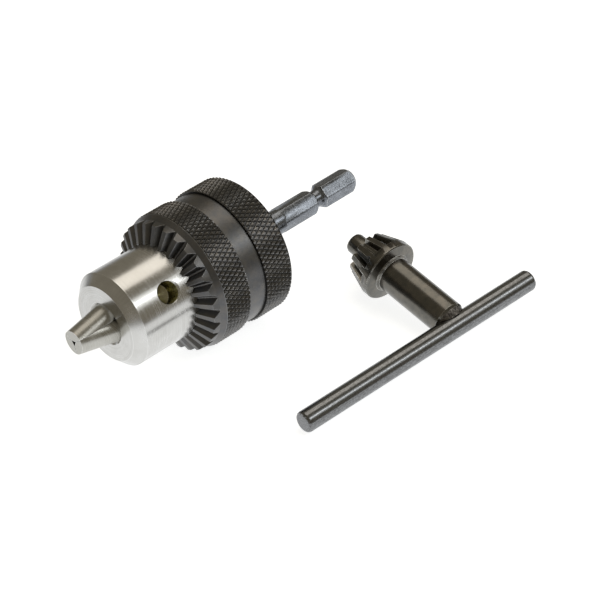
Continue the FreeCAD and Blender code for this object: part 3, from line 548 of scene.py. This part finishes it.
KEY_BLACK = black_oxide(
    "key_black_oxide", KEY_FRAME, film=rgb(0.125, 0.122, 0.11), warm=rgb(0.185, 0.172, 0.148),
    edge_wear_and_highlight_colour=rgb(0.8, 0.8, 0.77), roughness=0.22, edge_wear_and_highlight_radius=0.3 * MM, edge_wear_and_highlight_amount=0.9)
SCREW_BLACK = black_oxide(
    "screw_black_oxide", CHUCK_FRAME, film=rgb(0.08, 0.08, 0.08), warm=rgb(0.12, 0.12, 0.12),
    edge_wear_and_highlight_colour=rgb(0.3, 0.3, 0.3), roughness=0.35)
SHANK_STEEL = blasted_steel(
    "shank_steel", CHUCK_FRAME, light=rgb(0.3, 0.32, 0.35), dark=rgb(0.115, 0.122, 0.135),
    roughness=0.26)
BAR_STEEL = drawn_bar(
    "bar_steel", BAR_FRAME, light=rgb(0.27, 0.275, 0.28), dark=rgb(0.15, 0.15, 0.15),
    roughness=0.2)
WELD = weld_metal("weld_metal", KEY_FRAME)


# ---------------------------------------------------------------- pieces

def refined(node, body, material, slot, edge):
    """A piece with a CAD node's shape and rounded edges."""
    piece = add_piece(f"{node}_piece", copy_of_node(node), material, body, node, slot=slot)
    bevel_edges(piece, edge)


def build_pieces():
    sleeve = add_piece("sleeve_turned", make_sleeve(), SLEEVE_BLACK, "sleeve_body", "sleeve",
                       slot="sleeve_black_oxide")
    bevel_edges(sleeve, SLEEVE_ROUND, degrees=24)
    bands = (("knurl_rear", SLEEVE_REAR + REAR_BAND_SETBACK, REAR_BAND_END, SLEEVE_EDGE, BAND_LIP),
             ("knurl_front", FRONT_BAND_START, FRONT_BAND_END, BAND_LIP, BAND_LIP))
    for name, start, end, start_chamfer, end_chamfer in bands:
        band = make_knurl_band(name, start, end, start_chamfer, end_chamfer)
        add_piece(name, band, KNURL_BLACK, "sleeve_body", slot="sleeve_black_oxide")
    refined("chuck_body", "chuck", NOSE_STEEL, "body_steel", BODY_ROUND)
    refined("hex_shank_adapter", "chuck", SHANK_STEEL, "shank_steel", HEX_ROUND)
    refined("locking_screw", "chuck", SCREW_BLACK, "screw_black", SCREW_ROUND)
    for jaw in ("jaw_1", "jaw_2", "jaw_3"):
        refined(jaw, jaw, JAW_STEEL, "jaw_steel", JAW_ROUND)
    refined("key_shank", "key", KEY_BLACK, "key_black_oxide", KEY_SHANK_ROUND)
    refined("key_bar", "key", BAR_STEEL, "bar_steel", BAR_ROUND)
    refined("key_weld", "key", WELD, "weld_metal", WELD_ROUND)
    for node in ("nut_half_upper", "nut_half_lower"):
        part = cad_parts[node]
        part.data.materials.clear()
        part.data.materials.append(NUT_STEEL)


# ---------------------------------------------------------------- stage, light and camera

# Metres. The camera sees the pale paper. Reflections see a glow of the same tint instead, which
# fades with the distance from a point on the key's side, from its near to its far strength.
FLOOR_RADIUS = 3.0
PAPER_COLOUR = (0.86, 0.86, 0.86, 1)
PAPER_TINT = (0.985, 0.995, 1, 1)
PAPER_GLOW = 0.82
FADE_CENTRE = (0.12, -0.02, 0)
FADE_START = 0.12
FADE_END = 0.38
GLOW_NEAR = 1.03
GLOW_FAR = 0.28

# The lamps on the right face this point of the chuck's axis, and the one above faces straight down.
LAMP_AIM = Vector((0.0, -0.05, 0.0))
LAMP_LENGTH_ALONG = Vector((0, 1, 0))
COOL_LIGHT = (0.95, 0.98, 1.0)
WARM_LIGHT = (1.0, 0.945, 0.87)
# The camera sees a white backdrop, and everything else sees a dim warm room instead.
ROOM_COLOUR = (0.21, 0.19, 0.15, 1)
BACKDROP_COLOUR = (1.0, 1.0, 1.0, 1)

# The photograph's viewing angle: where the camera looks, from where, and its turn. The focal
# length and the sensor's width are in millimetres.
CAMERA_AIM = Vector((21.2, -39.9, -8.3)) * MM
CAMERA_DISTANCE = 600 * MM
CAMERA_AZIMUTH = math.radians(-42.63)
CAMERA_ELEVATION = math.radians(37.95)
CAMERA_ROLL = math.radians(-2.553)
FOCAL_LENGTH = 136.96
SENSOR_WIDTH = 36.0


def make_floor():
    """A round sheet of paper that the object lies on."""
    bpy.ops.mesh.primitive_circle_add(vertices=96, radius=FLOOR_RADIUS, fill_type="NGON",
                                      location=(0, 0, FLOOR_LEVEL))
    floor = bpy.context.object
    floor.name = "floor"
    material = bpy.data.materials.new("pale_floor")
    material.use_nodes = True
    nodes, links = material.node_tree.nodes, material.node_tree.links
    paper = nodes["Principled BSDF"]
    paper.inputs["Base Color"].default_value = PAPER_COLOUR
    paper.inputs["Roughness"].default_value = 0.9
    paper.inputs["Emission Color"].default_value = PAPER_TINT
    paper.inputs["Emission Strength"].default_value = PAPER_GLOW

    offset = nodes.new("ShaderNodeVectorMath")
    offset.operation = "DISTANCE"
    offset.inputs[1].default_value = FADE_CENTRE
    links.new(nodes.new("ShaderNodeTexCoord").outputs["Object"], offset.inputs[0])
    fall = nodes.new("ShaderNodeMapRange")
    fall.interpolation_type = "SMOOTHSTEP"
    fall.inputs["From Min"].default_value = FADE_START
    fall.inputs["From Max"].default_value = FADE_END
    fall.inputs["To Min"].default_value = GLOW_NEAR
    fall.inputs["To Max"].default_value = GLOW_FAR
    links.new(offset.outputs["Value"], fall.inputs["Value"])
    mirrored = nodes.new("ShaderNodeEmission")
    mirrored.inputs["Color"].default_value = PAPER_TINT
    links.new(fall.outputs["Result"], mirrored.inputs["Strength"])

    mix = nodes.new("ShaderNodeMixShader")
    links.new(nodes.new("ShaderNodeLightPath").outputs["Is Camera Ray"], mix.inputs[0])
    links.new(mirrored.outputs[0], mix.inputs[1])
    links.new(paper.outputs[0], mix.inputs[2])
    links.new(mix.outputs[0], nodes["Material Output"].inputs["Surface"])
    floor.data.materials.append(material)


def add_softbox(name, place, aim, length, width, radiance, colour):
    """A rectangular lamp that faces a point, its length as near the chuck's axis as it can be."""
    light = bpy.data.lights.new(name, "AREA")
    light.shape = "RECTANGLE"
    light.size = length
    light.size_y = width
    light.energy = radiance * math.pi * length * width
    light.color = colour
    lamp = bpy.data.objects.new(name, light)
    bpy.context.scene.collection.objects.link(lamp)
    back = (place - aim).normalized()
    side = (LAMP_LENGTH_ALONG - LAMP_LENGTH_ALONG.dot(back) * back).normalized()
    axes = Matrix((side, back.cross(side), back)).transposed()
    lamp.matrix_world = Matrix.Translation(place) @ axes.to_4x4()


def make_light():
    """A narrow lamp with a dimmer halo on the right, a wide one above, and a dim warm room."""
    right = LAMP_AIM + Vector((0.577, 0.53, 0.62)) * 1.1
    add_softbox("softbox_right_core", right, LAMP_AIM, length=1.0, width=0.15, radiance=2.4,
                colour=COOL_LIGHT)
    add_softbox("softbox_right_halo", right * 1.02, LAMP_AIM, length=1.1, width=0.48,
                radiance=0.75, colour=COOL_LIGHT)
    above = LAMP_AIM + Vector((-0.29, 0.6, 1.0)) * 0.9
    straight_down = above - Vector((0, 0, 1))
    add_softbox("softbox_above", above, straight_down, length=1.05, width=0.64, radiance=1.15,
                colour=WARM_LIGHT)
    world = bpy.data.worlds.new("studio")
    world.use_nodes = True
    nodes, links = world.node_tree.nodes, world.node_tree.links
    room = nodes["Background"]
    room.inputs["Color"].default_value = ROOM_COLOUR
    backdrop = nodes.new("ShaderNodeBackground")
    backdrop.inputs["Color"].default_value = BACKDROP_COLOUR
    mix = nodes.new("ShaderNodeMixShader")
    links.new(nodes.new("ShaderNodeLightPath").outputs["Is Camera Ray"], mix.inputs[0])
    links.new(room.outputs[0], mix.inputs[1])
    links.new(backdrop.outputs[0], mix.inputs[2])
    links.new(mix.outputs[0], nodes["World Output"].inputs[0])
    bpy.context.scene.world = world


def make_camera():
    back = Vector((math.cos(CAMERA_ELEVATION) * math.cos(CAMERA_AZIMUTH),
                   math.cos(CAMERA_ELEVATION) * math.sin(CAMERA_AZIMUTH),
                   math.sin(CAMERA_ELEVATION)))
    level = Vector((0, 0, 1)).cross(back).normalized()
    upright = back.cross(level)
    right = math.cos(CAMERA_ROLL) * level + math.sin(CAMERA_ROLL) * upright
    up = back.cross(right)
    data = bpy.data.cameras.new("camera")
    data.lens = FOCAL_LENGTH
    data.sensor_width = SENSOR_WIDTH
    data.clip_start = 0.01
    camera = bpy.data.objects.new("camera", data)
    bpy.context.scene.collection.objects.link(camera)
    axes = Matrix((right, up, back)).transposed().to_4x4()
    camera.matrix_world = Matrix.Translation(CAMERA_AIM + back * CAMERA_DISTANCE) @ axes
    bpy.context.scene.camera = camera


build_pieces()
make_floor()
make_light()
make_camera()
bpy.context.scene.view_settings.view_transform = "Standard"
